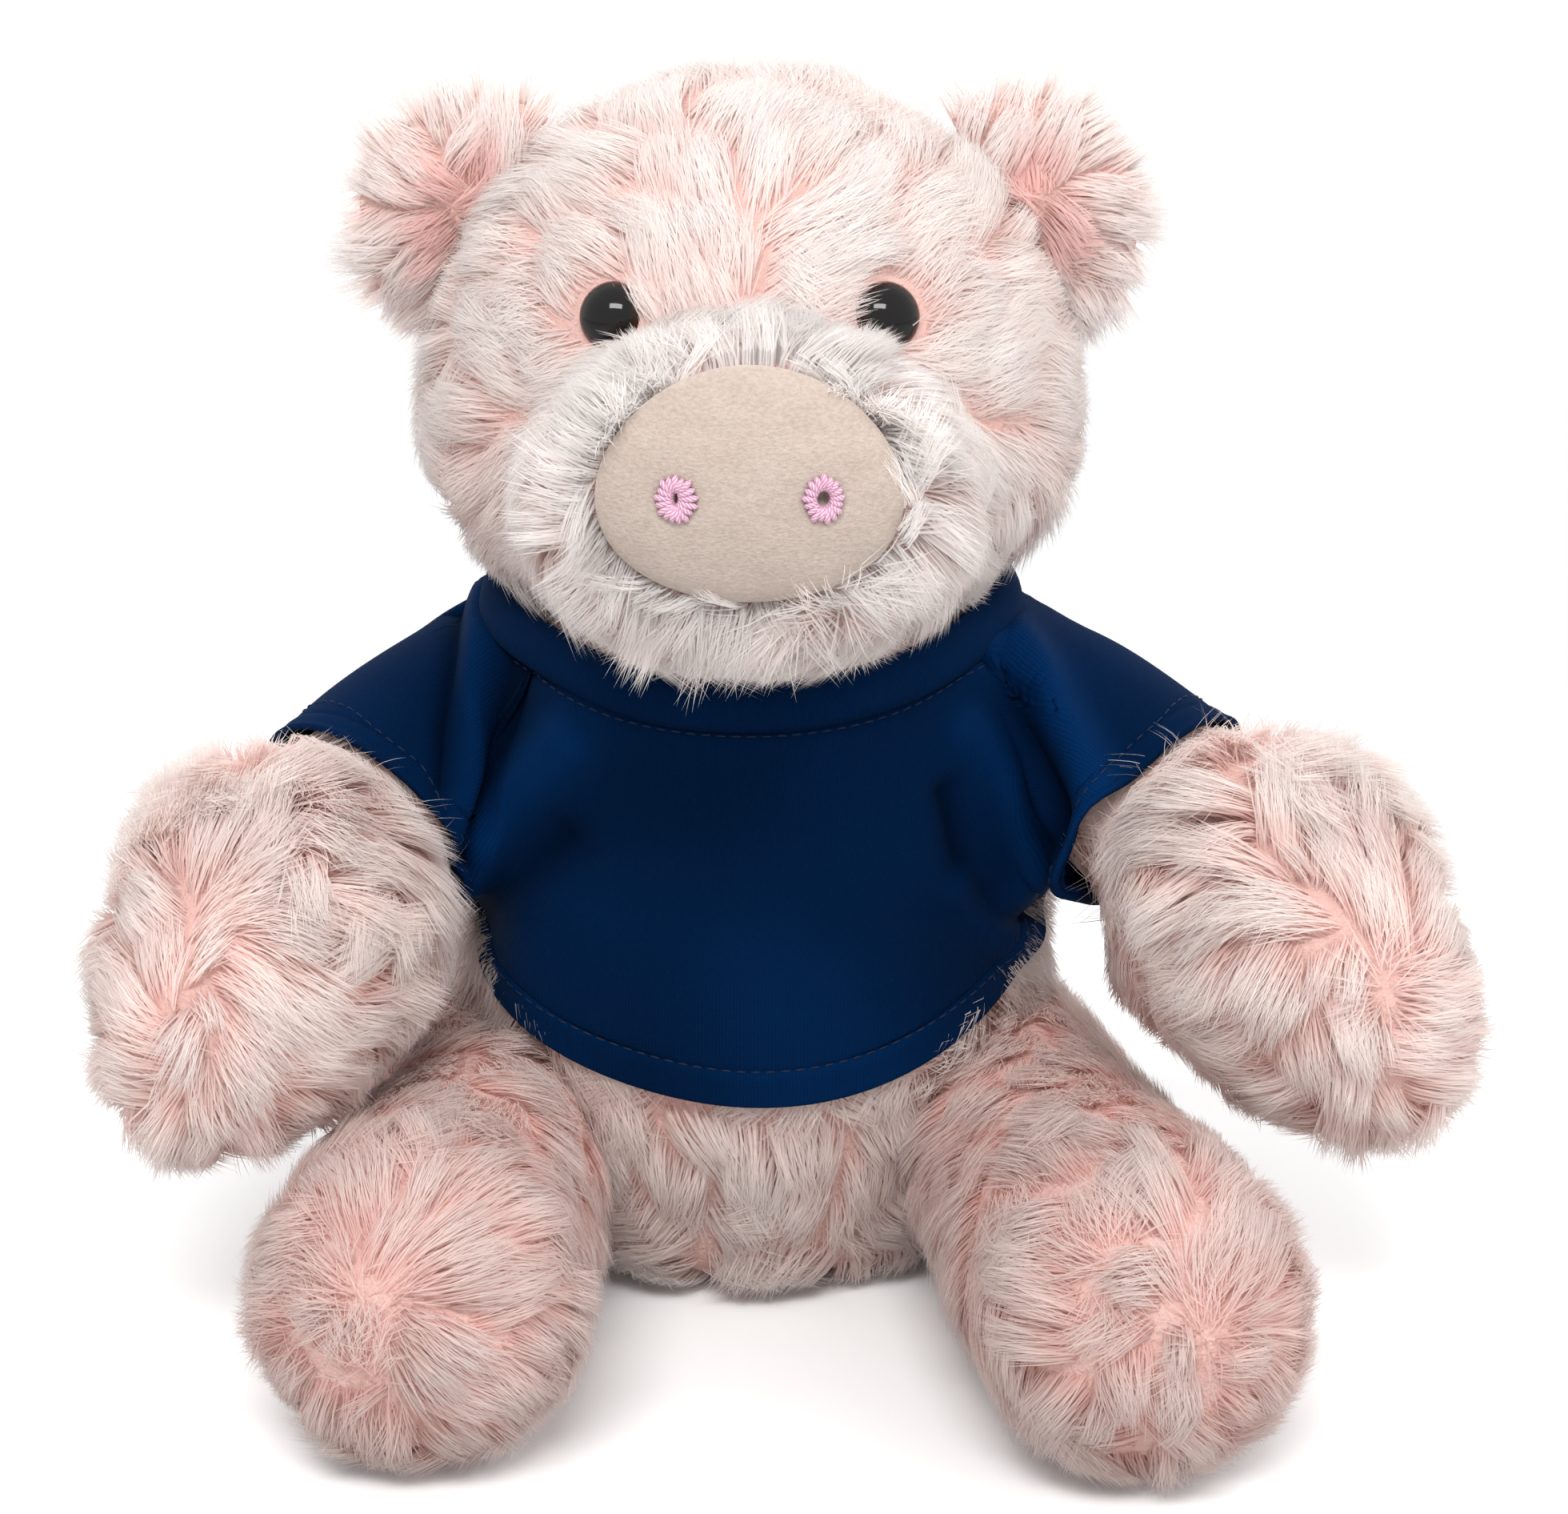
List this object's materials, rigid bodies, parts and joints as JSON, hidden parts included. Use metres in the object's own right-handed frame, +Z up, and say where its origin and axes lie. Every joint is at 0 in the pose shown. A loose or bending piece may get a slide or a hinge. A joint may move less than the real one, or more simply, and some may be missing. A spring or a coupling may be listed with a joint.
{
  "type": "plush pig",
  "caption": "Seated plush pig with long pale pink fur, a velour snout disc, glossy dark eyes and a short-sleeved knitted T-shirt.",
  "frame": {"origin": "on the floor, under the middle of the pig's whole width and depth", "axes": "+Z up, -Y the way the pig faces, +X towards the pig's own left hand"},
  "size_m": [0.245, 0.1918, 0.227],
  "materials": {
    "pink_fur": "long shaggy pile, matt",
    "inner_ear_fur": "deeper pink pile, matt",
    "snout_velour": "short dense velour",
    "embroidery_thread": "satin stitch, soft sheen",
    "eye_gloss": "polished",
    "washer_plastic": "moulded, matt",
    "navy_jersey": "fine knitted jersey, matt",
    "polyester_filling": "loose fibre filling"
  },
  "bodies": {
    "torso": {"torso_skin": "pink_fur", "torso_stuffing": "polyester_filling", "shirt_front": "navy_jersey", "shirt_back": "navy_jersey", "shirt_neckband": "navy_jersey", "shirt_sleeve_left": "navy_jersey", "shirt_sleeve_right": "navy_jersey"},
    "head": {"head_skin": "pink_fur", "head_stuffing": "polyester_filling", "muzzle_skin": "pink_fur", "muzzle_stuffing": "polyester_filling", "snout_disc": "snout_velour", "nostril_left": "embroidery_thread", "nostril_right": "embroidery_thread", "eye_left": "eye_gloss", "eye_right": "eye_gloss", "eye_washer_left": "washer_plastic", "eye_washer_right": "washer_plastic"},
    "ear_left": {"ear_left_front": "inner_ear_fur", "ear_left_back": "pink_fur"},
    "ear_right": {"ear_right_front": "inner_ear_fur", "ear_right_back": "pink_fur"},
    "arm_left": {"arm_left_skin": "pink_fur", "arm_left_stuffing": "polyester_filling"},
    "arm_right": {"arm_right_skin": "pink_fur", "arm_right_stuffing": "polyester_filling"},
    "leg_left": {"leg_left_skin": "pink_fur", "foot_left_skin": "pink_fur", "leg_left_stuffing": "polyester_filling"},
    "leg_right": {"leg_right_skin": "pink_fur", "foot_right_skin": "pink_fur", "leg_right_stuffing": "polyester_filling"},
    "tail": {"tail": "pink_fur"}
  },
  "joints": [
    {"name": "neck_turn", "type": "hinge", "parent": "torso", "child": "head", "pos_m": [-0.00689, 0.01988, 0.121], "axis": [0, 0, 1], "range_deg": [-20, 20], "stiffness_Nm_per_rad": 0.15},
    {"name": "ear_left_fold", "type": "hinge", "parent": "head", "child": "ear_left", "pos_m": [0.04291, 0.023, 0.20034], "axis": [0.4695, 0, -0.8829], "range_deg": [-20, 20], "stiffness_Nm_per_rad": 0.01},
    {"name": "ear_right_fold", "type": "hinge", "parent": "head", "child": "ear_right", "pos_m": [-0.05669, 0.023, 0.20034], "axis": [-0.4695, 0, -0.8829], "range_deg": [-20, 20], "stiffness_Nm_per_rad": 0.01},
    {"name": "shoulder_left_raise", "type": "hinge", "parent": "torso", "child": "arm_left", "pos_m": [0.04312, 0.02388, 0.10349], "axis": [0, -1, 0], "range_deg": [0, 35], "stiffness_Nm_per_rad": 0.1, "deforming": ["shirt_sleeve_left", "shirt_front", "shirt_back"]},
    {"name": "shoulder_right_raise", "type": "hinge", "parent": "torso", "child": "arm_right", "pos_m": [-0.0569, 0.02388, 0.10349], "axis": [0, 1, 0], "range_deg": [0, 35], "stiffness_Nm_per_rad": 0.1, "deforming": ["shirt_sleeve_right", "shirt_front", "shirt_back"]},
    {"name": "hip_left_lift", "type": "hinge", "parent": "torso", "child": "leg_left", "pos_m": [0.04015, 0.01388, 0.0285], "axis": [-0.8406, -0.2082, -0.5], "range_deg": [0, 15], "stiffness_Nm_per_rad": 0.1, "deforming": ["shirt_front"]},
    {"name": "hip_right_lift", "type": "hinge", "parent": "torso", "child": "leg_right", "pos_m": [-0.05393, 0.01388, 0.0285], "axis": [-0.8584, 0.1145, 0.5], "range_deg": [0, 15], "stiffness_Nm_per_rad": 0.1, "deforming": ["shirt_front"]},
    {"name": "tail_swing", "type": "hinge", "parent": "torso", "child": "tail", "pos_m": [-0.00689, 0.07388, 0.03144], "axis": [0, 0, 1], "range_deg": [-25, 25], "stiffness_Nm_per_rad": 0.001}
  ]
}
